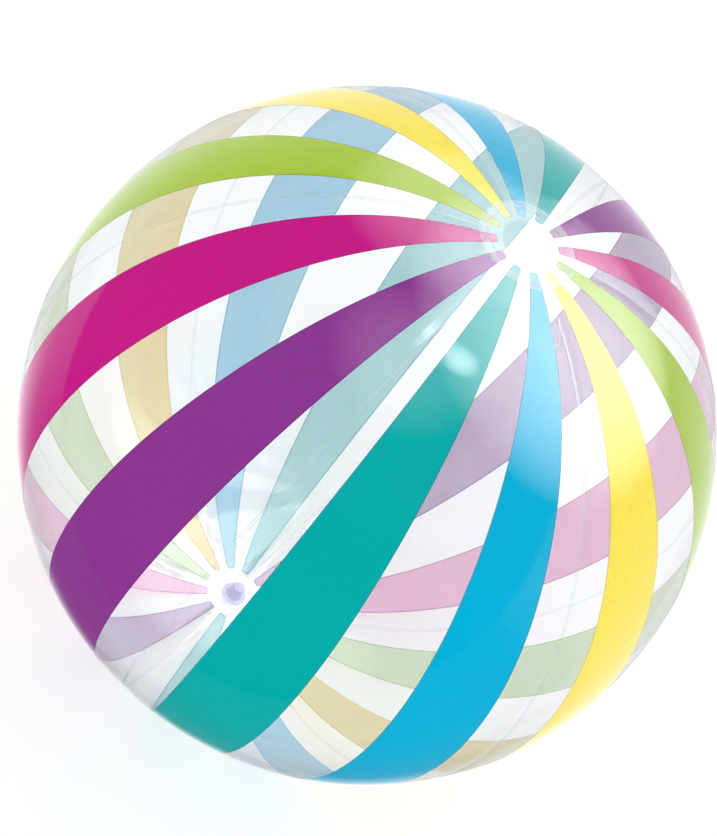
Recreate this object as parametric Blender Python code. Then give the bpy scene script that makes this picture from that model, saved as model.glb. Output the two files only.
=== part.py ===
"""Inflatable beach ball: six clear vinyl panels with printed stripes, two pole patches and a push-in valve.

Units are metres. The origin is the centre of the ball and +Z runs along the pole axis, away from the valve.
The ball is built inflated, with its valve pushed in and plugged.
"""
import math

import bmesh
import bpy
from mathutils import Vector

MM = 0.001
GAP = 0.3 * MM

# Inflated shape: a sphere whose two poles are drawn in a little by the stiff patches.
BALL_RADIUS = 0.455
POLE_FLATTENING = 0.032
POLE_FLATTENING_SPREAD = math.radians(20.0)

# Panels and their print, as angles about the pole axis
PANEL_COUNT = 6
PANEL_ANGLE = math.tau / PANEL_COUNT
GRID_ANGLE = math.radians(7.5)
STRIPE_ANGLE = math.radians(15.0)
STRIPE_OFFSET = math.radians(15.0)
PANEL_PRINTS = (("yellow", "green"), ("magenta", "purple"), ("teal", "blue"))

# Angles from the pole
PANEL_END = math.radians(4.5)
STRIPE_END = math.radians(5.4)
WELD_START = math.radians(6.7)
PATCH_EDGE = math.radians(8.5)
POLE_STEP = math.radians(11.5)
PATCH_MIDDLE = math.radians(2.6)

# Sheet thicknesses, and where each layer starts above the inside of the panels
FILM = 0.25 * MM
PRINT = 0.08 * MM
PRINT_LIFT = FILM + GAP
PATCH_LIFT = PRINT_LIFT + PRINT + GAP

# Valve, as radii about the pole axis and depths below the outer face of its patch
VALVE_SEGMENTS = 32
PATCH_HOLE_RADIUS = 12.5 * MM
FLANGE_RADIUS = 18.0 * MM
FLANGE_TOP = 0.75 * MM
FLANGE_THICKNESS = 1.2 * MM
STEM_TOP = 2.6 * MM
STEM_END = 22.0 * MM
STEM_RADIUS = 7.0 * MM
BORE_RADIUS = 4.5 * MM
COLLAR_RADIUS = 8.2 * MM
COLLAR_THICKNESS = 1.5 * MM
MEMBRANE_WALL = 0.8 * MM
MEMBRANE_TOP_RADIUS = 12.6 * MM
MEMBRANE_END_RADIUS = 8.6 * MM

# Stopper, hinged on the mouth of the stem
STOPPER_TOP = 0.8 * MM
STOPPER_RADIUS = 7.0 * MM
PLUG_LENGTH = 4.5 * MM
PLUG_RADIUS = 4.2 * MM
PLUG_TIP_RADIUS = 3.3 * MM
STRAP_WIDTH = 4.0 * MM
STRAP_THICKNESS = 1.0 * MM
LIP_REACH = 8.8 * MM
LUG_DEPTH = 1.6 * MM
LUG_REACH = 10.6 * MM
STOPPER_HINGE_RADIUS = 9.6 * MM
STOPPER_HINGE_DEPTH = STEM_TOP - GAP - STRAP_THICKNESS / 2

# Check flap over the inner end of the stem
FLAP_RADIUS = 5.2 * MM
FLAP_THICKNESS = 0.6 * MM
FLAP_TAB_WIDTH = 4.0 * MM
FLAP_HINGE_RADIUS = 6.2 * MM
FLAP_DEPTH = STEM_END + GAP
FLAP_HINGE_DEPTH = FLAP_DEPTH + FLAP_THICKNESS / 2

OVERLAP = 0.4 * MM
MERGE_DISTANCE = 0.0001 * MM
HINGE_SEGMENTS = 12

# Colour, roughness, metallic and alpha of each material
FINISHES = {
    "clear_film": ((0.86, 0.91, 0.93), 0.12, 0.0, 0.25),
    "patch_film": ((0.93, 0.95, 0.96), 0.18, 0.0, 0.35),
    "yellow": ((0.99, 0.83, 0.06), 0.25, 0.0, 1.0),
    "green": ((0.38, 0.62, 0.03), 0.25, 0.0, 1.0),
    "magenta": ((0.55, 0.01, 0.22), 0.25, 0.0, 1.0),
    "purple": ((0.26, 0.03, 0.29), 0.25, 0.0, 1.0),
    "teal": ((0.0, 0.38, 0.35), 0.25, 0.0, 1.0),
    "blue": ((0.0, 0.42, 0.72), 0.25, 0.0, 1.0),
    "valve_vinyl": ((0.55, 0.55, 0.83), 0.30, 0.0, 0.9),
    "flap_film": ((0.75, 0.76, 0.88), 0.25, 0.0, 0.7),
}


def clear_scene():
    """Remove every object from the scene."""
    for old in list(bpy.data.objects):
        bpy.data.objects.remove(old, do_unlink=True)


def finish_material(name):
    """Return the named material, made once."""
    material = bpy.data.materials.get(name)
    if material:
        return material
    colour, roughness, metallic, alpha = FINISHES[name]
    material = bpy.data.materials.new(name)
    material.use_nodes = True
    shader = material.node_tree.nodes["Principled BSDF"]
    shader.inputs["Base Color"].default_value = (*colour, 1.0)
    shader.inputs["Roughness"].default_value = roughness
    shader.inputs["Metallic"].default_value = metallic
    shader.inputs["Alpha"].default_value = alpha
    material.diffuse_color = (*colour, alpha)
    return material


def object_from_bmesh(name, bm, finish, sharp_angle=math.radians(35.0)):
    """Make an object from a finished bmesh, shaded smooth with sharp edges kept."""
    bmesh.ops.recalc_face_normals(bm, faces=bm.faces)
    mesh = bpy.data.meshes.new(name)
    bm.to_mesh(mesh)
    bm.free()
    mesh.materials.append(finish_material(finish))
    mesh.shade_smooth()
    mesh.set_sharp_from_angle(angle=sharp_angle)
    made = bpy.data.objects.new(name, mesh)
    bpy.context.scene.collection.objects.link(made)
    return made


# Sheet pieces, which all follow one surface of revolution


def ball_radius(polar):
    """Distance from the centre to the inside of the panels, at an angle from the +Z pole."""
    from_pole = min(polar, math.pi - polar)
    drawn_in = math.exp(-(from_pole / POLE_FLATTENING_SPREAD) ** 2)
    return BALL_RADIUS * (1.0 - POLE_FLATTENING * drawn_in)


def sheet_point(azimuth, polar, lift):
    """A point of the ball's surface, raised by lift."""
    radius = ball_radius(polar) + lift
    across = radius * math.sin(polar)
    return Vector((across * math.cos(azimuth), across * math.sin(azimuth), radius * math.cos(polar)))


def polar_lines(first):
    """Angles from the pole that every sheet shares, from first at one pole to first at the other."""
    near = [angle for angle in (PANEL_END, STRIPE_END, WELD_START, PATCH_EDGE, POLE_STEP) if angle >= first]
    far = [math.pi - angle for angle in reversed(near)]
    steps = round(math.pi / GRID_ANGLE)
    middle = [step * GRID_ANGLE for step in range(2, steps - 1)]
    return near + middle + far


def azimuth_lines(centre, width):
    """Evenly spaced azimuths across a band."""
    steps = round(width / GRID_ANGLE)
    return [centre + width * (step / steps - 0.5) for step in range(steps + 1)]


def grid_rows(bm, azimuths, polars, lift, side_gap):
    """Vertices of one face of a band, with its two long edges moved in by side_gap."""
    rows = []
    for polar in polars:
        shift = side_gap / (ball_radius(polar) * math.sin(polar))
        columns = [azimuths[0] + shift, *azimuths[1:-1], azimuths[-1] - shift]
        rows.append([bm.verts.new(sheet_point(azimuth, polar, lift)) for azimuth in columns])
    return rows


def skin(bm, rows):
    """Fill a grid of vertices with quads."""
    for upper, lower in zip(rows, rows[1:]):
        for column in range(len(upper) - 1):
            bm.faces.new((upper[column], lower[column], lower[column + 1], upper[column + 1]))


def join_loops(bm, loop_a, loop_b):
    """Fill the wall between two closed loops of equal length."""
    count = len(loop_a)
    for index in range(count):
        following = (index + 1) % count
        bm.faces.new((loop_a[index], loop_a[following], loop_b[following], loop_b[index]))


def border(rows):
    """The outer edge of a grid of vertices, as one closed loop."""
    left = [row[0] for row in rows[1:-1]]
    right = [row[-1] for row in rows[1:-1]]
    return rows[0] + right + rows[-1][::-1] + left[::-1]


def band_sheet(name, centre, width, polar_end, lift, thickness, finish, side_gap=0.0):
    """A closed sheet that runs from pole to pole, between two meridians."""
    azimuths = azimuth_lines(centre, width)
    polars = polar_lines(polar_end)
    bm = bmesh.new()
    inner = grid_rows(bm, azimuths, polars, lift, side_gap)
    outer = grid_rows(bm, azimuths, polars, lift + thickness, side_gap)
    skin(bm, inner)
    skin(bm, outer)
    join_loops(bm, border(inner), border(outer))
    return object_from_bmesh(name, bm, finish)


def ring_of_points(bm, polar, lift):
    """A full circle of vertices at one angle from the pole."""
    count = round(math.tau / GRID_ANGLE)
    return [bm.verts.new(sheet_point(step * GRID_ANGLE, polar, lift)) for step in range(count)]


def close_centre(bm, ring, polar, lift):
    """Fill the middle of a patch with triangles that meet at the pole."""
    centre = bm.verts.new(sheet_point(0.0, polar, lift))
    for index, corner in enumerate(ring):
        bm.faces.new((centre, corner, ring[(index + 1) % len(ring)]))


def patch_sheet(name, pole, hole):
    """A round patch over one pole, with a hole for the valve if hole is not zero."""
    lines = (hole, PATCH_MIDDLE, PANEL_END, STRIPE_END, WELD_START, PATCH_EDGE)
    angles = [angle for angle in lines if angle]
    bm = bmesh.new()
    sides = []
    for lift in (PATCH_LIFT, PATCH_LIFT + FILM):
        rings = [ring_of_points(bm, abs(pole - angle), lift) for angle in angles]
        for ring_a, ring_b in zip(rings, rings[1:]):
            join_loops(bm, ring_a, ring_b)
        if not hole:
            close_centre(bm, rings[0], pole, lift)
        sides.append(rings)
    inner, outer = sides
    join_loops(bm, inner[-1], outer[-1])
    if hole:
        join_loops(bm, inner[0], outer[0])
    return object_from_bmesh(name, bm, "patch_film")


def make_panels():
    """The six clear gore panels, with a weld gap between neighbours."""
    for index in range(PANEL_COUNT):
        band_sheet(f"panel_{index + 1}", index * PANEL_ANGLE, PANEL_ANGLE, PANEL_END,
                   0.0, FILM, "clear_film", side_gap=GAP / 2)


def make_stripes():
    """The two printed stripes of each panel, as thin ink layers on its outer face."""
    for index in range(PANEL_COUNT):
        pair = PANEL_PRINTS[index % len(PANEL_PRINTS)]
        number = index // len(PANEL_PRINTS) + 1
        for colour, side in zip(pair, (-1, 1)):
            centre = index * PANEL_ANGLE + side * STRIPE_OFFSET
            band_sheet(f"{colour}_stripe_{number}", centre, STRIPE_ANGLE, STRIPE_END,
                       PRINT_LIFT, PRINT, colour)


def make_patches():
    """The plain patch at +Z and the patch with the valve hole at -Z."""
    hole = math.asin(PATCH_HOLE_RADIUS / ball_radius(0.0))
    patch_sheet("pole_patch", 0.0, 0.0)
    patch_sheet("valve_patch", math.pi, hole)


# Valve pieces, modelled under an empty whose +Z points out of the ball


def valve_empty():
    """An empty on the outer face of the valve patch, with +Z out of the ball."""
    holder = bpy.data.objects.new("valve_frame", None)
    holder.empty_display_size = FLANGE_RADIUS
    holder.location = (0.0, 0.0, -(ball_radius(0.0) + PATCH_LIFT + FILM))
    holder.rotation_euler = (math.pi, 0.0, 0.0)
    bpy.context.scene.collection.objects.link(holder)
    return holder


def lathe(bm, profile, offset=Vector((0.0, 0.0, 0.0)), segments=VALVE_SEGMENTS):
    """Turn a closed outline of (radius, depth) points about the pole axis."""
    loops = []
    for step in range(segments):
        angle = math.tau * step / segments
        turned = [(radius * math.cos(angle), radius * math.sin(angle), -depth) for radius, depth in profile]
        loops.append([bm.verts.new(Vector(point) + offset) for point in turned])
    for step in range(segments):
        join_loops(bm, loops[step], loops[(step + 1) % segments])
    bmesh.ops.remove_doubles(bm, verts=bm.verts, dist=MERGE_DISTANCE)
    bmesh.ops.dissolve_degenerate(bm, edges=bm.edges, dist=MERGE_DISTANCE)


def placed(made, holder, location=(0.0, 0.0, 0.0)):
    """Hang an object on the valve's empty."""
    made.parent = holder
    made.location = location
    return made


def block(name, low, high):
    """A box between two corners, for use as a Boolean operand."""
    bm = bmesh.new()
    bmesh.ops.create_cube(bm, size=1.0)
    for vertex in bm.verts:
        for axis in range(3):
            vertex.co[axis] = high[axis] if vertex.co[axis] > 0 else low[axis]
    return object_from_bmesh(name, bm, "valve_vinyl")


def rod(name, radius, width):
    """A short rod along Y through the origin, for use as a Boolean operand."""
    bm = bmesh.new()
    bmesh.ops.create_cone(bm, cap_ends=True, segments=HINGE_SEGMENTS,
                          radius1=radius, radius2=radius, depth=width)
    for vertex in bm.verts:
        vertex.co = Vector((vertex.co.x, vertex.co.z, -vertex.co.y))
    return object_from_bmesh(name, bm, "valve_vinyl")


def add_solid(target, operand):
    """Join operand to target with a Boolean, and keep operand out of the model."""
    operand.parent = target
    operand.hide_render = True
    operand.display_type = "WIRE"
    union = target.modifiers.new(operand.name, "BOOLEAN")
    union.operation = "UNION"
    union.solver = "EXACT"
    union.object = operand


def make_flange(holder):
    """The flat ring welded to the inside of the valve patch."""
    bottom = FLANGE_TOP + FLANGE_THICKNESS
    profile = [(PATCH_HOLE_RADIUS, FLANGE_TOP), (FLANGE_RADIUS, FLANGE_TOP),
               (FLANGE_RADIUS, bottom), (PATCH_HOLE_RADIUS, bottom)]
    bm = bmesh.new()
    lathe(bm, profile)
    return placed(object_from_bmesh("valve_flange", bm, "valve_vinyl"), holder)


def make_membrane(holder):
    """The soft sleeve between flange and stem, which folds as the valve is pulled out."""
    top = FLANGE_TOP + FLANGE_THICKNESS + GAP
    bottom = STEM_END - COLLAR_THICKNESS - GAP
    profile = [(MEMBRANE_TOP_RADIUS - MEMBRANE_WALL, top), (MEMBRANE_TOP_RADIUS, top),
               (MEMBRANE_END_RADIUS, bottom), (MEMBRANE_END_RADIUS - MEMBRANE_WALL, bottom)]
    bm = bmesh.new()
    lathe(bm, profile)
    return placed(object_from_bmesh("valve_membrane", bm, "valve_vinyl"), holder)


def make_stem(holder):
    """The tube that the ball is blown up through, with its collar and two hinge lugs."""
    collar_top = STEM_END - COLLAR_THICKNESS
    profile = [(BORE_RADIUS, STEM_TOP), (STEM_RADIUS, STEM_TOP), (STEM_RADIUS, collar_top),
               (COLLAR_RADIUS, collar_top), (COLLAR_RADIUS, STEM_END), (BORE_RADIUS, STEM_END)]
    bm = bmesh.new()
    lathe(bm, profile)
    stem = placed(object_from_bmesh("valve_stem", bm, "valve_vinyl"), holder)
    half = STRAP_WIDTH / 2
    add_solid(stem, block("stopper_lug", (-LUG_REACH, -half, -STEM_TOP - LUG_DEPTH),
                          (-STEM_RADIUS + OVERLAP, half, -STEM_TOP)))
    flap_stop = FLAP_HINGE_RADIUS + FLAP_THICKNESS / 2 + GAP
    add_solid(stem, block("flap_lug", (flap_stop, -FLAP_TAB_WIDTH / 2, -FLAP_DEPTH - FLAP_THICKNESS),
                          (COLLAR_RADIUS - OVERLAP, FLAP_TAB_WIDTH / 2, -STEM_END + OVERLAP)))
    return stem


def make_stopper(holder):
    """The plug that closes the stem, with its strap and finger lip, on its own hinge."""
    face = STEM_TOP - GAP
    tip = face + PLUG_LENGTH
    to_hinge = Vector((STOPPER_HINGE_RADIUS, 0.0, STOPPER_HINGE_DEPTH))
    profile = [(0.0, STOPPER_TOP), (STOPPER_RADIUS, STOPPER_TOP), (STOPPER_RADIUS, face),
               (PLUG_RADIUS, face), (PLUG_TIP_RADIUS, tip), (0.0, tip)]
    bm = bmesh.new()
    lathe(bm, profile, to_hinge)
    stopper = placed(object_from_bmesh("valve_stopper", bm, "valve_vinyl"), holder, -to_hinge)
    half_width = STRAP_WIDTH / 2
    half_thick = STRAP_THICKNESS / 2
    strap_end = STOPPER_HINGE_RADIUS - STOPPER_RADIUS + OVERLAP
    add_solid(stopper, block("strap", (0.0, -half_width, -half_thick), (strap_end, half_width, half_thick)))
    add_solid(stopper, rod("strap_knuckle", half_thick, STRAP_WIDTH))
    lip_start = STOPPER_HINGE_RADIUS + STOPPER_RADIUS - OVERLAP
    lip_end = STOPPER_HINGE_RADIUS + LIP_REACH
    add_solid(stopper, block("finger_lip", (lip_start, -half_width, -half_thick),
                             (lip_end, half_width, half_thick)))
    return stopper


def make_flap(holder):
    """The check flap that rests on the inner end of the stem, on its own hinge."""
    bottom = FLAP_DEPTH + FLAP_THICKNESS
    to_hinge = Vector((-FLAP_HINGE_RADIUS, 0.0, FLAP_HINGE_DEPTH))
    profile = [(0.0, FLAP_DEPTH), (FLAP_RADIUS, FLAP_DEPTH), (FLAP_RADIUS, bottom), (0.0, bottom)]
    bm = bmesh.new()
    lathe(bm, profile, to_hinge)
    flap = placed(object_from_bmesh("check_flap", bm, "flap_film"), holder, -to_hinge)
    half_thick = FLAP_THICKNESS / 2
    tab_end = FLAP_HINGE_RADIUS - FLAP_RADIUS + OVERLAP
    add_solid(flap, block("flap_tab", (-tab_end, -FLAP_TAB_WIDTH / 2, -half_thick),
                          (0.0, FLAP_TAB_WIDTH / 2, half_thick)))
    add_solid(flap, rod("flap_knuckle", half_thick, FLAP_TAB_WIDTH))
    return flap


def main():
    """Build the whole ball."""
    clear_scene()
    make_panels()
    make_stripes()
    make_patches()
    holder = valve_empty()
    make_flange(holder)
    make_membrane(holder)
    make_stem(holder)
    make_stopper(holder)
    make_flap(holder)


main()
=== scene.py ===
"""The looks of a clear, striped beach ball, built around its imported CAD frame.

Everything is in metres, in the CAD frame: the origin is the ball's centre, and the valve is at -Z.
"""
import math

import bpy
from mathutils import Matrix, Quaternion, Vector, noise


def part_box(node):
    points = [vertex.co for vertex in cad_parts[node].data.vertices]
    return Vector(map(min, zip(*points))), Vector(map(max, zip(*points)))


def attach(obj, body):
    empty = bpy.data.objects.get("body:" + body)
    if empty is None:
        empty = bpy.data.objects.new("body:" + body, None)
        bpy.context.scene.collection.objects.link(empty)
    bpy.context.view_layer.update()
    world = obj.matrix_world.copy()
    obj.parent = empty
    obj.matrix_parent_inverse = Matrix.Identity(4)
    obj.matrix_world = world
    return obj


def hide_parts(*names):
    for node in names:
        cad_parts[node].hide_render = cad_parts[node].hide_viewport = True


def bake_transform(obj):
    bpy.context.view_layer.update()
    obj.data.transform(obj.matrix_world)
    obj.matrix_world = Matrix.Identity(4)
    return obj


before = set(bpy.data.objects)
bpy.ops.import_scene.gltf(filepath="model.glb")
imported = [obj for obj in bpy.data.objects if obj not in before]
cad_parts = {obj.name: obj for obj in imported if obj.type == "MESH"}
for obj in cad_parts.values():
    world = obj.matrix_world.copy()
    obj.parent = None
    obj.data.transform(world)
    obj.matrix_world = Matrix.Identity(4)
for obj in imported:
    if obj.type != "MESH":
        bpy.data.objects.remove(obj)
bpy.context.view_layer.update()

MM = 0.001

# The blown-up surface: the outside of the panels, drawn in a little at the poles
EQUATOR_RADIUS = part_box("panel_1")[1][0]
PATCH_STACK = 1.0 * MM
POLE_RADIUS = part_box("pole_patch")[1][2] - PATCH_STACK
POLE_FLATTENING = 1.0 - POLE_RADIUS / EQUATOR_RADIUS
FLATTENING_SPREAD = math.radians(20.0)
VALVE_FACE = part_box("valve_patch")[0][2]

# Panels and prints: angles round the pole axis, and angles from a pole
PANEL_COUNT = 6
PANEL_ANGLE = math.tau / PANEL_COUNT
STRIPE_ANGLE = math.radians(15.0)
STRIPE_OFFSET = math.radians(15.0)
PANEL_END = math.radians(4.5)
STRIPE_END = math.radians(5.4)
WELD_START = math.radians(6.7)
PATCH_EDGE = math.radians(8.5)
SEAM_START = PATCH_EDGE - math.radians(0.5)
PANEL_PRINTS = (("yellow", "green"), ("magenta", "purple"), ("teal", "blue"))

# Extra rows where the panels and the stripes end, as angles from a pole
PANEL_END_ROWS = [PANEL_END, math.radians(5.2), math.radians(5.9)]
STRIPE_END_ROWS = [STRIPE_END + math.radians(angle) for angle in (0.0, 0.04, 0.1, 0.2, 0.36, 0.6, 0.8)]

# The weld ring of a patch, and the two raised lines beside it
RING_START = WELD_START + math.radians(0.2)
RING_END = PATCH_EDGE - math.radians(0.35)
PATCH_RIDGES = (WELD_START, PATCH_EDGE - math.radians(0.15))

# Layers: where each starts over the outside of the panels, and how thick it is
FILM = 0.25 * MM
PRINT_LIFT = 0.15 * MM
PRINT = 0.10 * MM
SEAM_LIFT = 0.05 * MM
SEAM_FILM = 0.10 * MM
PATCH_LIFT = 0.55 * MM
KNURL_GAP = 0.05 * MM
KNURL_LIFT = PATCH_LIFT + FILM + KNURL_GAP
KNURL_FILM = 0.10 * MM

# Edges and ridges of the layers
PANEL_EDGE_GAP = 0.05 * MM
PRINT_CORNER = 2.5 * MM
PATCH_RIDGE = 0.30 * MM
PATCH_RIDGE_SPREAD = math.radians(0.10)
KNURL_PITCH = 4.0 * MM
KNURL_HEIGHT = 0.28 * MM

# Half of a weld strip's outside: distance from its middle, and rise
SEAM_HALF = [(distance * MM, rise * MM) for distance, rise in (
    (0.0, 0.05), (0.6, 0.0), (1.5, 0.04), (1.75, 0.20), (2.0, 0.20), (2.2, 0.0))]
SEAM_PROFILE = [(-distance, rise) for distance, rise in reversed(SEAM_HALF[1:])] + SEAM_HALF

# Relief of the film: valleys at the seams, puckers beside them, and slow unevenness
VALLEY_DEPTH = 1.3 * MM
VALLEY_REACH = 9.0 * MM
PUCKER_HEIGHT = 0.25 * MM
PUCKER_LENGTH = 12.0 * MM
PUCKER_REACH = 24.0 * MM
PUCKER_SLANT = 0.4
SEAM_SPACING_IN_NOISE = 7.3
GATHER_AT = 0.12
GATHER_SPREAD = 0.08
UNEVEN_HEIGHT = 0.6 * MM
UNEVEN_SIZE = 0.17
RELIEF_STARTS = 0.09

# How fine the meshes are, and how far off the poles their shared rows and the pole patch's rings start
PANEL_COLUMNS = 48
STRIPE_COLUMNS = 12
MERIDIAN_ROWS = 256
MERIDIAN_START = math.radians(6.4)
PATCH_COLUMNS = 144
PATCH_STEP = math.radians(0.1)
PATCH_MIDDLE = math.radians(0.6)
KNURL_COLUMNS = 384
KNURL_ROWS = 13
CONE_COLUMNS = 72
CONE_ROWS = 36
SHARP_ANGLE = math.radians(50.0)

# The valve's soft cone
MEMBRANE_WALL = 0.8 * MM
MEMBRANE_CLEARANCE = 0.05 * MM
MEMBRANE_STEM_GAP = 0.4 * MM
FOLD_HEIGHT = 0.35 * MM
FOLD_COUNT = 3.0
CONE_CURVE = 0.8

# Rounding of the valve's moulded pieces: CAD points closer than this are joined first
MERGE_DISTANCE = 0.002 * MM
SMOOTHING = 0.5

# Print colours, linear: the outer face, and the white-backed face that shows from inside
INK = {
    "yellow": ((0.96, 0.775, 0.045), (0.77, 0.645, 0.34)),
    "green": ((0.385, 0.56, 0.022), (0.62, 0.69, 0.48)),
    "magenta": ((0.58, 0.010, 0.24), (0.78, 0.455, 0.60)),
    "purple": ((0.268, 0.038, 0.283), (0.50, 0.38, 0.515)),
    "teal": ((0.0, 0.42, 0.405), (0.36, 0.595, 0.595)),
    "blue": ((0.0, 0.455, 0.715), (0.345, 0.58, 0.70)),
}

# Other colours, and how strong the orange peel and the line round a print's back are
WHITE = (1.0, 1.0, 1.0)
DARKEST_DRIFT = (0.97, 0.97, 0.97)
CLOUD_COLOUR = (0.93, 0.95, 0.97)
VINYL_COLOURS = ((0.66, 0.65, 0.93), (0.76, 0.75, 0.96))
PEEL_SHARE = 0.008
EDGE_LINE_STRENGTH = 0.7

# How much the clear film reflects: face on, at a slant, and how fast it grows between them
FACING_SHINE = 0.018
SLANT_SHINE = 0.45
SHINE_POWER = 5.0

# The ridges of a weld strip, cloudy and with a painted highlight on them: where they start and are
# full, from its middle, and their tint
RIDGE_START = 1.4 * MM
RIDGE_FULL = 1.8 * MM
RIDGE_TINT = (0.88, 0.89, 0.91)

# Camera: the view's angles, its distance, and the part of the image's width that the ball takes
VIEW_AZIMUTH = math.radians(5.0)
VIEW_ELEVATION = math.radians(47.5)
VIEW_ROLL = math.radians(40.1)
VIEW_DISTANCE = 7.5 * EQUATOR_RADIUS
BALL_SHARE = 0.837
SENSOR = 36.0
SHIFT = (-0.0102, 0.0209)

# Light and floor, and how many clear layers a ray may pass
WORLD_COLOUR = (0.98, 0.99, 1.0)
WORLD_LIGHT = 1.0
INNER_GLOW = 3.5
INNER_GLOW_RADIUS = 0.10
FLOOR_HALF = 40.0
FLOOR_GAP = 0.5 * MM
FLOOR_GLOW = 0.54
FLOOR_PAINT = (0.56, 0.56, 0.56)
CLEAR_LAYERS = 24


# The ball's surface


def surface_radius(polar):
    """Distance from the centre to the outside of the panels."""
    from_pole = min(polar, math.pi - polar)
    return EQUATOR_RADIUS * (1.0 - POLE_FLATTENING * math.exp(-(from_pole / FLATTENING_SPREAD) ** 2))


def nearest_seam(azimuth, across):
    """Distance along the surface to the nearest seam, and that seam's number."""
    turns = azimuth / PANEL_ANGLE - 0.5
    number = round(turns)
    return abs(turns - number) * PANEL_ANGLE * across, number % PANEL_COUNT


def relief(azimuth, polar):
    """Height of the film's creases and unevenness over the ideal surface."""
    radius = surface_radius(polar)
    across = radius * math.sin(polar)
    distance, seam = nearest_seam(azimuth, across)
    valley = -VALLEY_DEPTH * math.exp(-(distance / VALLEY_REACH) ** 2)
    gather = 1.0 + math.exp(-((across - GATHER_AT) / GATHER_SPREAD) ** 2)
    along = radius * polar / PUCKER_LENGTH
    slant = PUCKER_SLANT * distance / PUCKER_LENGTH
    wave = noise.noise(Vector((along, SEAM_SPACING_IN_NOISE * seam, slant)))
    pucker = PUCKER_HEIGHT * gather * wave * math.exp(-(distance / PUCKER_REACH) ** 2)
    place = Vector((across * math.cos(azimuth), across * math.sin(azimuth), radius * math.cos(polar)))
    uneven = UNEVEN_HEIGHT * noise.noise(place / UNEVEN_SIZE)
    fade = min(1.0, across / RELIEF_STARTS) ** 2
    return fade * (valley + pucker + uneven)


def surface_point(azimuth, polar, lift):
    """A point of the film's outside, raised by lift."""
    radius = surface_radius(polar) + relief(azimuth, polar) + lift
    across = radius * math.sin(polar)
    return (across * math.cos(azimuth), across * math.sin(azimuth), radius * math.cos(polar))


# Mesh building


class Shell:
    """A closed thin sheet: two grids of points with faces over them and walls between them."""

    def __init__(self):
        self.points = []
        self.edge_distance = []
        self.faces = []
        self.slots = []

    def grid(self, rows):
        """Add rows of (point, distance to the sheet's edge) and return their indices."""
        placed = []
        for row in rows:
            start = len(self.points)
            self.points.extend(point for point, _ in row)
            self.edge_distance.extend(distance for _, distance in row)
            placed.append(list(range(start, start + len(row))))
        return placed

    def face(self, corners, slot=0):
        """Add one face."""
        self.faces.append(corners)
        self.slots.append(slot)

    def cover(self, rows, slot=0, wrap=False, inwards=False):
        """Fill a grid with quads."""
        for upper, lower in zip(rows, rows[1:]):
            count = len(upper)
            for column in range(count if wrap else count - 1):
                following = (column + 1) % count
                corners = (upper[column], lower[column], lower[following], upper[following])
                self.face(corners[::-1] if inwards else corners, slot)

    def wall(self, first, second):
        """Join two closed rims of equal length."""
        for index in range(len(first)):
            following = (index + 1) % len(first)
            self.face((first[index], first[following], second[following], second[index]))

    def close_middle(self, rim, middle_point, inwards=False):
        """Fill the hole inside a rim with a fan of triangles."""
        middle = self.grid([[(middle_point, 0.0)]])[0][0]
        for index, corner in enumerate(rim):
            corners = (middle, corner, rim[(index + 1) % len(rim)])
            self.face(corners[::-1] if inwards else corners)

    def build(self, name, materials):
        """Make the object, shaded smooth with its rims sharp."""
        mesh = bpy.data.meshes.new(name)
        mesh.from_pydata(self.points, [], self.faces)
        for material in materials:
            mesh.materials.append(material)
        mesh.polygons.foreach_set("material_index", self.slots)
        attribute = mesh.attributes.new("edge_distance", "FLOAT", "POINT")
        attribute.data.foreach_set("value", self.edge_distance)
        mesh.shade_smooth()
        mesh.set_sharp_from_angle(angle=SHARP_ANGLE)
        mesh.update()
        made = bpy.data.objects.new(name, mesh)
        bpy.context.scene.collection.objects.link(made)
        return made


def rim_of(rows):
    """The rim of a grid, as one closed loop."""
    right = [row[-1] for row in rows[1:-1]]
    left = [row[0] for row in rows[1:-1]]
    return rows[0] + right + rows[-1][::-1] + left[::-1]


def sheet(name, rows_at, lift, thickness, materials, inner_slot=0):
    """A closed sheet between the surfaces rows_at(lift) and rows_at(lift + thickness)."""
    shell = Shell()
    outer = shell.grid(rows_at(lift + thickness))
    inner = shell.grid(rows_at(lift))
    shell.cover(outer)
    shell.cover(inner, inner_slot, inwards=True)
    shell.wall(rim_of(outer), rim_of(inner))
    return shell.build(name, materials)


def disc(name, rows_at, lift, thickness, materials, middle_at=None):
    """A closed sheet all round a pole, with a hole in the middle unless middle_at is given."""
    shell = Shell()
    outer = shell.grid(rows_at(lift + thickness))
    inner = shell.grid(rows_at(lift))
    shell.cover(outer, wrap=True)
    shell.cover(inner, wrap=True, inwards=True)
    shell.wall(inner[-1], outer[-1])
    if middle_at:
        shell.close_middle(outer[0], middle_at(lift + thickness))
        shell.close_middle(inner[0], middle_at(lift), inwards=True)
    else:
        shell.wall(outer[0], inner[0])
    return shell.build(name, materials)


def ride(piece, body, node=None):
    """Fix a piece to a body, and let it stand for a CAD node."""
    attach(piece, body)
    if node:
        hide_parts(node)


# Materials


def add_node(tree, kind, sockets, **settings):
    """Add a node. sockets maps a socket's name or number to a value or to another node's output."""
    node = tree.nodes.new(kind)
    for key, value in settings.items():
        setattr(node, key, value)
    for key, value in sockets.items():
        if isinstance(value, bpy.types.NodeSocket):
            tree.links.new(value, node.inputs[key])
        else:
            node.inputs[key].default_value = value
    return node


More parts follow.
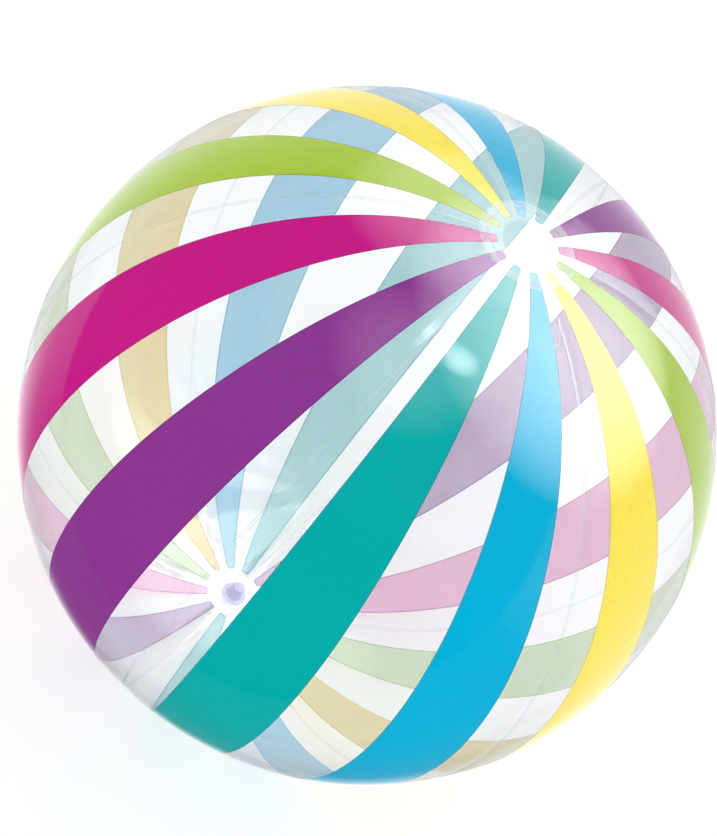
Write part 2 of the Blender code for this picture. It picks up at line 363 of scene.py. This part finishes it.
class Nodes:
    """A short way to write a material's node tree."""

    def __init__(self, name):
        self.material = bpy.data.materials.new(name)
        self.material.use_nodes = True
        self.tree = self.material.node_tree
        self.tree.nodes.clear()

    def add(self, kind, sockets, **settings):
        """Add a node to this material."""
        return add_node(self.tree, kind, sockets, **settings)

    def math(self, operation, first, second):
        """The result of a Math node."""
        return self.add("ShaderNodeMath", {0: first, 1: second}, operation=operation).outputs[0]

    def mix(self, factor, first, second):
        """The colour between two colours."""
        return self.add("ShaderNodeMix", {0: factor, 6: first, 7: second}, data_type="RGBA").outputs[2]

    def remap(self, value, low, high, to_low=0.0, to_high=1.0):
        """A value moved from one range to another, and kept inside it."""
        sockets = {"Value": value, "From Min": low, "From Max": high,
                   "To Min": to_low, "To Max": to_high}
        return self.add("ShaderNodeMapRange", sockets).outputs["Result"]

    def noise(self, scale, detail=2.0, low=0.0, high=1.0):
        """Fractal noise over the object's metres, stretched to fill low to high."""
        place = self.add("ShaderNodeTexCoord", {}).outputs["Object"]
        texture = self.add("ShaderNodeTexNoise", {"Vector": place, "Scale": scale, "Detail": detail})
        return self.remap(texture.outputs["Fac"], 0.3, 0.7, low, high)

    def bump(self, height, distance):
        """The normal of a surface with this relief."""
        return self.add("ShaderNodeBump", {"Height": height, "Distance": distance}).outputs["Normal"]

    def edge_line(self, full, gone):
        """1 along the sheet's edge, 0 further in."""
        attribute = self.add("ShaderNodeAttribute", {}, attribute_name="edge_distance")
        return self.remap(attribute.outputs["Fac"], full, gone, 1.0, 0.0)

    def finish(self, shader):
        """Connect the surface and return the material."""
        output = self.add("ShaderNodeOutputMaterial", {})
        self.tree.links.new(shader, output.inputs["Surface"])
        return self.material


def rgba(colour, factor=1.0):
    """An opaque colour, made darker or lighter."""
    return (*(min(1.0, channel * factor) for channel in colour), 1.0)


def film_normal(nodes):
    """The fine orange peel and faint wrinkles of rolled vinyl."""
    peel = nodes.math("MULTIPLY", nodes.noise(scale=420.0), PEEL_SHARE)
    height = nodes.math("ADD", peel, nodes.noise(scale=22.0, high=0.2))
    return nodes.bump(height, distance=0.2 * MM)


def clear_film(name, tint, haze, roughness, ridge_haze_and_highlight=0.0):
    """See-through vinyl: clear face on, shiny at a slant, with a faint uneven haze. On a weld strip's
    ridges the white cloud is partly real and partly a painted highlight.
    """
    nodes = Nodes(name)
    normal = film_normal(nodes)
    colour = rgba(tint)
    cloud_and_ridge_highlight = nodes.noise(scale=9.0, detail=4.0, low=0.4 * haze, high=1.6 * haze)
    # A weld strip's ridges get a darker tint and a white cloud; the cloud is partly real haze and
    # partly a painted highlight along the ridges
    if ridge_haze_and_highlight:
        ridge = nodes.math("SUBTRACT", 1.0, nodes.edge_line(RIDGE_START, RIDGE_FULL))
        colour = nodes.mix(ridge, colour, rgba(RIDGE_TINT))
        cloud_and_ridge_highlight = nodes.math("ADD", cloud_and_ridge_highlight, nodes.math("MULTIPLY", ridge, ridge_haze_and_highlight))
    clear = nodes.add("ShaderNodeBsdfTransparent", {"Color": colour})
    cloud = nodes.add("ShaderNodeBsdfDiffuse", {"Color": rgba(CLOUD_COLOUR), "Normal": normal})
    body = nodes.add("ShaderNodeMixShader", {0: cloud_and_ridge_highlight, 1: clear.outputs[0], 2: cloud.outputs[0]})
    rough = nodes.noise(scale=60.0, detail=3.0, low=0.7 * roughness, high=1.4 * roughness)
    gloss = nodes.add("ShaderNodeBsdfGlossy", {"Roughness": rough, "Normal": normal})
    facing = nodes.add("ShaderNodeLayerWeight", {"Blend": 0.5}).outputs["Facing"]
    slant = nodes.math("MULTIPLY", nodes.math("POWER", facing, SHINE_POWER), SLANT_SHINE)
    shine = nodes.math("ADD", slant, FACING_SHINE)
    film = nodes.add("ShaderNodeMixShader", {0: shine, 1: body.outputs[0], 2: gloss.outputs[0]})
    return nodes.finish(film.outputs[0])


def print_face(name, colour):
    """The outer face of a print: glossy ink, slightly uneven, darker where it piles up at the edge."""
    nodes = Nodes(name)
    mottle = nodes.mix(nodes.noise(scale=130.0, detail=4.0), rgba(colour, factor=0.965),
                       rgba(colour, factor=1.03))
    drift = nodes.mix(nodes.noise(scale=5.0), rgba(DARKEST_DRIFT), rgba(WHITE))
    drifted = nodes.add("ShaderNodeMix", {0: 1.0, 6: mottle, 7: drift}, data_type="RGBA",
                        blend_type="MULTIPLY").outputs[2]
    base = nodes.mix(nodes.edge_line(full=0.5 * MM, gone=1.1 * MM), drifted, rgba(colour, factor=0.45))
    rough = nodes.noise(scale=70.0, detail=3.0, low=0.05, high=0.09)
    shader = nodes.add("ShaderNodeBsdfPrincipled", {"Base Color": base, "Roughness": rough,
                                                    "Normal": film_normal(nodes)})
    return nodes.finish(shader.outputs[0])


def print_back(name, colour, edge_colour):
    """A print seen from inside: its white backing, with a thin line of dark ink along the edge."""
    nodes = Nodes(name)
    backing = nodes.mix(nodes.noise(scale=90.0, detail=4.0), rgba(colour, factor=0.96),
                        rgba(colour, factor=1.02))
    line = nodes.math("MULTIPLY", nodes.edge_line(full=0.9 * MM, gone=1.7 * MM), EDGE_LINE_STRENGTH)
    base = nodes.mix(line, backing, rgba(edge_colour, factor=0.5))
    rough = nodes.noise(scale=70.0, detail=3.0, low=0.30, high=0.42)
    shader = nodes.add("ShaderNodeBsdfPrincipled", {"Base Color": base, "Roughness": rough,
                                                    "Specular IOR Level": 0.25,
                                                    "Normal": film_normal(nodes)})
    return nodes.finish(shader.outputs[0])


def moulded_vinyl(name, alpha):
    """Soft, bluish, slightly see-through moulded vinyl."""
    nodes = Nodes(name)
    deep, pale = VINYL_COLOURS
    base = nodes.mix(nodes.noise(scale=240.0, detail=3.0), rgba(deep), rgba(pale))
    rough = nodes.noise(scale=300.0, detail=3.0, low=0.24, high=0.38)
    normal = nodes.bump(nodes.noise(scale=900.0), distance=0.03 * MM)
    shader = nodes.add("ShaderNodeBsdfPrincipled", {"Base Color": base, "Roughness": rough,
                                                    "Alpha": alpha, "Normal": normal})
    return nodes.finish(shader.outputs[0])


# Pieces of the skin


def meridian(start):
    """The shared rows of all the pieces that run from pole to pole, from an angle off each pole."""
    span = math.pi - 2.0 * MERIDIAN_START
    polars = [MERIDIAN_START + span * step / MERIDIAN_ROWS for step in range(MERIDIAN_ROWS + 1)]
    return [polar for polar in polars if start <= polar <= math.pi - start]


def with_ends(end_angles, polars):
    """Rows with extra ones added towards both poles."""
    return end_angles + polars + [math.pi - angle for angle in reversed(end_angles)]


def band_rows(centre, half_angle, polars, columns, crowded=False, gap=0.0, corner=0.0):
    """A function that gives a meridian band's rows at a height.

    crowded puts the columns closer together towards the band's edges, gap draws the edges in,
    and corner rounds the ends.
    """
    shares = [2.0 * step / columns - 1.0 for step in range(columns + 1)]
    if crowded:
        shares = [math.sin(math.pi / 2.0 * share) for share in shares]
    first = surface_radius(polars[0]) * polars[0]
    last = surface_radius(polars[-1]) * polars[-1]

    def rows_at(height):
        rows = []
        for polar in polars:
            across = surface_radius(polar) * math.sin(polar)
            along = surface_radius(polar) * polar
            from_end = min(along - first, last - along)
            short_of = max(0.0, corner - from_end)
            inset = gap + corner - math.sqrt(corner ** 2 - short_of ** 2)
            half = half_angle - inset / across
            row = []
            for share in shares:
                from_side = (1.0 - abs(share)) * half * across
                point = surface_point(centre + share * half, polar, height)
                row.append((point, min(from_side, from_end)))
            rows.append(row)
        return rows
    return rows_at


def make_panels(film):
    """The six clear panels."""
    polars = with_ends(PANEL_END_ROWS, meridian(MERIDIAN_START))
    for index in range(PANEL_COUNT):
        rows_at = band_rows(index * PANEL_ANGLE, PANEL_ANGLE / 2.0, polars, PANEL_COLUMNS,
                            crowded=True, gap=PANEL_EDGE_GAP)
        panel = sheet(f"film_panel_{index + 1}", rows_at, -FILM, FILM, [film])
        ride(panel, "shell", f"panel_{index + 1}")


def make_prints():
    """The twelve printed stripes."""
    polars = with_ends(STRIPE_END_ROWS, meridian(MERIDIAN_START))
    faces = {}
    for colour, (outside, inside) in INK.items():
        faces[colour] = [print_face(f"{colour}_ink", outside),
                         print_back(f"{colour}_ink_back", inside, outside)]
    for index in range(PANEL_COUNT):
        number = index // len(PANEL_PRINTS) + 1
        for side, colour in zip((-1.0, 1.0), PANEL_PRINTS[index % len(PANEL_PRINTS)]):
            centre = index * PANEL_ANGLE + side * STRIPE_OFFSET
            rows_at = band_rows(centre, STRIPE_ANGLE / 2.0, polars, STRIPE_COLUMNS, corner=PRINT_CORNER)
            stripe = sheet(f"{colour}_print_{number}", rows_at, PRINT_LIFT, PRINT, faces[colour],
                           inner_slot=1)
            ride(stripe, "shell", f"{colour}_stripe_{number}")


def seam_rows(azimuth, polars):
    """A function that gives a seam strip's rows at a height; its ridges are on the outside only."""
    def rows_at(height):
        rows = []
        for polar in polars:
            across = surface_radius(polar) * math.sin(polar)
            row = []
            for offset, rise in SEAM_PROFILE:
                lift = height + rise if height > SEAM_LIFT else height
                row.append((surface_point(azimuth + offset / across, polar, lift), abs(offset)))
            rows.append(row)
        return rows
    return rows_at


def make_seams(film):
    """The weld strips over the joints between the panels, each with a ridge along both sides."""
    polars = meridian(SEAM_START)
    for index in range(PANEL_COUNT):
        rows_at = seam_rows((index + 0.5) * PANEL_ANGLE, polars)
        seam = sheet(f"weld_seam_{index + 1}", rows_at, SEAM_LIFT, SEAM_FILM, [film])
        ride(seam, "shell")


def ring_rows(pole, angles, columns, relief_at):
    """A function that gives rings of points round a pole; relief_at raises the outside."""
    turn = 1.0 if pole == 0.0 else -1.0

    def rows_at(height):
        rows = []
        for angle in angles:
            row = []
            for step in range(columns):
                azimuth = turn * math.tau * step / columns
                rise = relief_at(azimuth, angle) if height > PATCH_LIFT else 0.0
                row.append((surface_point(azimuth, abs(pole - angle), height + rise), 0.0))
            rows.append(row)
        return rows
    return rows_at


def patch_ridges(_azimuth, angle):
    """The two raised lines beside a patch's weld ring."""
    rise = 0.0
    for ridge in PATCH_RIDGES:
        rise += PATCH_RIDGE * math.exp(-((angle - ridge) / PATCH_RIDGE_SPREAD) ** 2)
    return rise


def knurl(azimuth, angle):
    """The diamond knurling of a weld ring."""
    teeth = round(math.tau * POLE_RADIUS * (WELD_START + PATCH_EDGE) / 2.0 / KNURL_PITCH)
    across = azimuth * teeth
    along = math.tau * POLE_RADIUS * angle / KNURL_PITCH
    rising = 0.5 + 0.5 * math.cos(across + along)
    falling = 0.5 + 0.5 * math.cos(across - along)
    return KNURL_HEIGHT * rising * falling


def make_patches(film, welded_film):
    """The round patches over the panels' ends, each with a knurled weld ring."""
    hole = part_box("valve_membrane")[1][0] / POLE_RADIUS
    ring_span = RING_END - RING_START
    ring_angles = [RING_START + ring_span * step / KNURL_ROWS for step in range(KNURL_ROWS + 1)]
    for pole, node in ((0.0, "pole_patch"), (math.pi, "valve_patch")):
        start = hole if pole else PATCH_MIDDLE
        steps = math.floor((PATCH_EDGE - start) / PATCH_STEP)
        angles = [start + PATCH_STEP * step for step in range(steps)] + [PATCH_EDGE]
        middle_at = None if pole else lambda height: surface_point(0.0, 0.0, height)
        patch = disc(f"{node}_film", ring_rows(pole, angles, PATCH_COLUMNS, patch_ridges),
                     PATCH_LIFT, FILM, [film], middle_at)
        ride(patch, "shell", node)
        weld = disc(f"{node}_weld", ring_rows(pole, ring_angles, KNURL_COLUMNS, knurl),
                    KNURL_LIFT, KNURL_FILM, [welded_film])
        ride(weld, "shell")


# Valve


def make_membrane(vinyl):
    """The soft, folded cone round the stem. One end follows the shell, and the other the stem."""
    low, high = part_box("valve_membrane")
    stem_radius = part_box("valve_stem")[1][1]
    top_radius = high[0] - MEMBRANE_CLEARANCE
    bottom_radius = stem_radius + MEMBRANE_WALL + MEMBRANE_STEM_GAP
    length = high[2] - low[2]
    shell = Shell()
    sides = []
    for inset in (0.0, MEMBRANE_WALL):
        rows = []
        for step in range(CONE_ROWS + 1):
            share = step / CONE_ROWS
            fold = FOLD_HEIGHT * math.sin(FOLD_COUNT * math.tau * share) * math.sin(math.pi * share)
            radius = top_radius + (bottom_radius - top_radius) * share ** CONE_CURVE + fold - inset
            height = low[2] + length * share
            turns = [-math.tau * column / CONE_COLUMNS for column in range(CONE_COLUMNS)]
            rows.append([((radius * math.cos(turn), radius * math.sin(turn), height), 0.0)
                         for turn in turns])
        sides.append(shell.grid(rows))
    outer, inner = sides
    shell.cover(outer, wrap=True)
    shell.cover(inner, wrap=True, inwards=True)
    shell.wall(inner[-1], outer[-1])
    shell.wall(outer[0], inner[0])
    membrane = shell.build("valve_cone", [vinyl])
    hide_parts("valve_membrane")
    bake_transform(membrane)


def rounded_copy(name, node, grain, passes):
    """A copy of a CAD piece, rebuilt in grains of one size and worn round at its corners."""
    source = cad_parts[node]
    draft = bpy.data.objects.new(f"{name}_draft", source.data.copy())
    draft.matrix_world = source.matrix_world
    bpy.context.scene.collection.objects.link(draft)
    weld = draft.modifiers.new("weld", "WELD")
    weld.merge_threshold = MERGE_DISTANCE
    remesh = draft.modifiers.new("remesh", "REMESH")
    remesh.mode = "VOXEL"
    remesh.voxel_size = grain
    smooth = draft.modifiers.new("smooth", "SMOOTH")
    smooth.factor = SMOOTHING
    smooth.iterations = passes
    mesh = bpy.data.meshes.new_from_object(draft.evaluated_get(bpy.context.evaluated_depsgraph_get()))
    bpy.data.objects.remove(draft)
    mesh.shade_smooth()
    made = bpy.data.objects.new(name, mesh)
    made.matrix_world = source.matrix_world
    bpy.context.scene.collection.objects.link(made)
    return made


def make_mouldings(vinyl, flap_vinyl):
    """The valve's solid pieces, with the soft corners of moulded vinyl."""
    mouldings = (
        ("flange_moulding", "valve_flange", "shell", "valve_vinyl", vinyl, 0.25 * MM, 6),
        ("stem_moulding", "valve_stem", "stem", "valve_vinyl", vinyl, 0.22 * MM, 5),
        ("stopper_moulding", "valve_stopper", "stopper", "valve_vinyl", vinyl, 0.18 * MM, 6),
        ("flap_disc", "check_flap", "flap", "flap_film", flap_vinyl, 0.12 * MM, 3),
    )
    for name, node, body, slot, material, grain, passes in mouldings:
        piece = rounded_copy(name, node, grain, passes)
        piece.data.materials.clear()
        piece.data.materials.append(material)
        ride(piece, body, node)


# Studio


def view_axes():
    """The view's rotation, and its right, up and towards-camera directions."""
    level = math.cos(VIEW_ELEVATION)
    back = Vector((math.sin(VIEW_AZIMUTH) * level, -math.cos(VIEW_AZIMUTH) * level,
                   math.sin(VIEW_ELEVATION)))
    rotation = (-back).to_track_quat("-Z", "Y") @ Quaternion((0.0, 0.0, 1.0), VIEW_ROLL)
    return rotation, rotation @ Vector((1.0, 0.0, 0.0)), rotation @ Vector((0.0, 1.0, 0.0)), back


def view_direction(off_axis, screen_angle):
    """The direction off_axis degrees from the camera's, turned screen_angle degrees on the image."""
    _, right, up, back = view_axes()
    off = math.radians(off_axis)
    turn = math.radians(screen_angle)
    return back * math.cos(off) + (right * math.cos(turn) + up * math.sin(turn)) * math.sin(off)


def make_camera():
    """The camera, rolled so that the ball's pole leans to the upper right."""
    rotation, _, _, back = view_axes()
    data = bpy.data.cameras.new("camera")
    half_width = EQUATOR_RADIUS / math.sqrt(VIEW_DISTANCE ** 2 - EQUATOR_RADIUS ** 2)
    data.sensor_width = SENSOR
    data.lens = SENSOR * BALL_SHARE / 2.0 / half_width
    data.shift_x, data.shift_y = SHIFT
    camera = bpy.data.objects.new("camera", data)
    camera.rotation_mode = "QUATERNION"
    camera.rotation_quaternion = rotation
    camera.location = back * VIEW_DISTANCE
    bpy.context.scene.collection.objects.link(camera)
    bpy.context.scene.camera = camera


def make_inner_glow(pieces):
    """The light that thin prints let through into the ball. It reaches nothing but the ball."""
    data = bpy.data.lights.new("inner_glow", "POINT")
    data.energy = INNER_GLOW
    data.shadow_soft_size = INNER_GLOW_RADIUS
    lamp = bpy.data.objects.new("inner_glow", data)
    lamp.visible_camera = False
    lamp.visible_glossy = False
    receivers = bpy.data.collections.new("ball")
    for piece in pieces:
        receivers.objects.link(piece)
    lamp.light_linking.receiver_collection = receivers
    bpy.context.scene.collection.objects.link(lamp)


def floor_material():
    """A pale floor that glows a little, so that it reads white, and that is clear from below."""
    nodes = Nodes("pale_floor")
    glow = nodes.add("ShaderNodeEmission", {"Color": rgba(WHITE), "Strength": FLOOR_GLOW})
    paint = nodes.add("ShaderNodeBsdfDiffuse", {"Color": rgba(FLOOR_PAINT)})
    both = nodes.add("ShaderNodeAddShader", {0: glow.outputs[0], 1: paint.outputs[0]})
    below = nodes.add("ShaderNodeNewGeometry", {}).outputs["Backfacing"]
    clear = nodes.add("ShaderNodeBsdfTransparent", {})
    shown = nodes.add("ShaderNodeMixShader", {0: below, 1: both.outputs[0], 2: clear.outputs[0]})
    return nodes.finish(shown.outputs[0])


def make_floor():
    """A wide pale floor under the lowest point of the ball."""
    level = VALVE_FACE - FLOOR_GAP
    corners = [(FLOOR_HALF * x, FLOOR_HALF * y, level) for x, y in ((-1, -1), (1, -1), (1, 1), (-1, 1))]
    mesh = bpy.data.meshes.new("floor")
    mesh.from_pydata(corners, [], [(0, 1, 2, 3)])
    mesh.materials.append(floor_material())
    floor = bpy.data.objects.new("floor", mesh)
    bpy.context.scene.collection.objects.link(floor)
    floor.visible_glossy = False
    floor.visible_shadow = False


def make_world():
    """Even pale surroundings. As a reflection they are dark, with soft lights and a pale backdrop."""
    world = bpy.data.worlds.new("studio")
    world.use_nodes = True
    tree = world.node_tree
    background = tree.nodes["Background"]
    background.inputs["Color"].default_value = rgba(WORLD_COLOUR)
    place = tree.nodes.new("ShaderNodeTexCoord").outputs["Generated"]

    def glow(off_axis, screen_angle, outer, inner, radiance, dark=0.0):
        """A round light that fades in from outer to inner degrees off its middle."""
        middle = view_direction(off_axis, screen_angle)
        dot = add_node(tree, "ShaderNodeVectorMath", {0: place, 1: middle}, operation="DOT_PRODUCT")
        sockets = {"Value": dot.outputs["Value"], "From Min": math.cos(math.radians(outer)),
                   "From Max": math.cos(math.radians(inner)), "To Min": dark, "To Max": radiance}
        return add_node(tree, "ShaderNodeMapRange", sockets).outputs["Result"]

    def combine(operation, values):
        """The sum or product of several values."""
        result = values[0]
        for value in values[1:]:
            node = add_node(tree, "ShaderNodeMath", {0: result, 1: value}, operation=operation)
            result = node.outputs[0]
        return result

    wall = glow(154.0, 2.0, outer=90.0, inner=89.1, radiance=0.50, dark=0.06)
    backdrop = glow(138.0, 30.0, outer=81.4, inner=60.0, radiance=0.60)
    dark_floor = glow(90.0, 240.0, outer=78.5, inner=63.3, radiance=0.15, dark=1.0)
    window = glow(74.0, 25.0, outer=43.0, inner=6.0, radiance=9.0)
    small_light = glow(43.0, 41.0, outer=6.0, inner=1.0, radiance=10.0)
    front_glow = glow(30.0, 60.0, outer=26.0, inner=8.0, radiance=1.6)
    top_glow = glow(84.0, 68.0, outer=26.0, inner=8.0, radiance=2.6)
    behind = combine("MULTIPLY", (combine("ADD", (wall, backdrop)), dark_floor))
    mirrored = combine("ADD", (behind, window, small_light, front_glow, top_glow))
    glossy = add_node(tree, "ShaderNodeLightPath", {}).outputs["Is Glossy Ray"]
    strength = add_node(tree, "ShaderNodeMix", {"Factor": glossy, "A": WORLD_LIGHT, "B": mirrored})
    tree.links.new(strength.outputs["Result"], background.inputs["Strength"])
    bpy.context.scene.world = world


def make_studio():
    """The light inside the ball, the camera, the floor and the surroundings."""
    make_inner_glow([piece for piece in bpy.context.scene.objects if piece.type == "MESH"])
    make_camera()
    make_floor()
    make_world()
    scene = bpy.context.scene
    scene.view_settings.view_transform = "Standard"
    scene.cycles.transparent_max_bounces = CLEAR_LAYERS


def main():
    """Build every piece and the studio."""
    film = clear_film("film", tint=(0.985, 0.99, 0.995), haze=0.02, roughness=0.07)
    patch_film = clear_film("patch_film_clear", tint=(0.985, 0.985, 0.99), haze=0.03, roughness=0.08)
    weld_film = clear_film("weld_film", tint=(0.965, 0.97, 0.975), haze=0.10, roughness=0.12)
    # The seams' ridges get a white cloud that is partly a painted highlight along them
    seam_film = clear_film("seam_film", tint=(0.975, 0.98, 0.985), haze=0.03, roughness=0.10,
                           ridge_haze_and_highlight=0.16)
    vinyl = moulded_vinyl("valve_vinyl_moulded", alpha=0.75)
    make_panels(film)
    make_prints()
    make_seams(seam_film)
    make_patches(patch_film, weld_film)
    make_membrane(vinyl)
    make_mouldings(vinyl, moulded_vinyl("flap_vinyl", alpha=0.6))
    make_studio()


main()
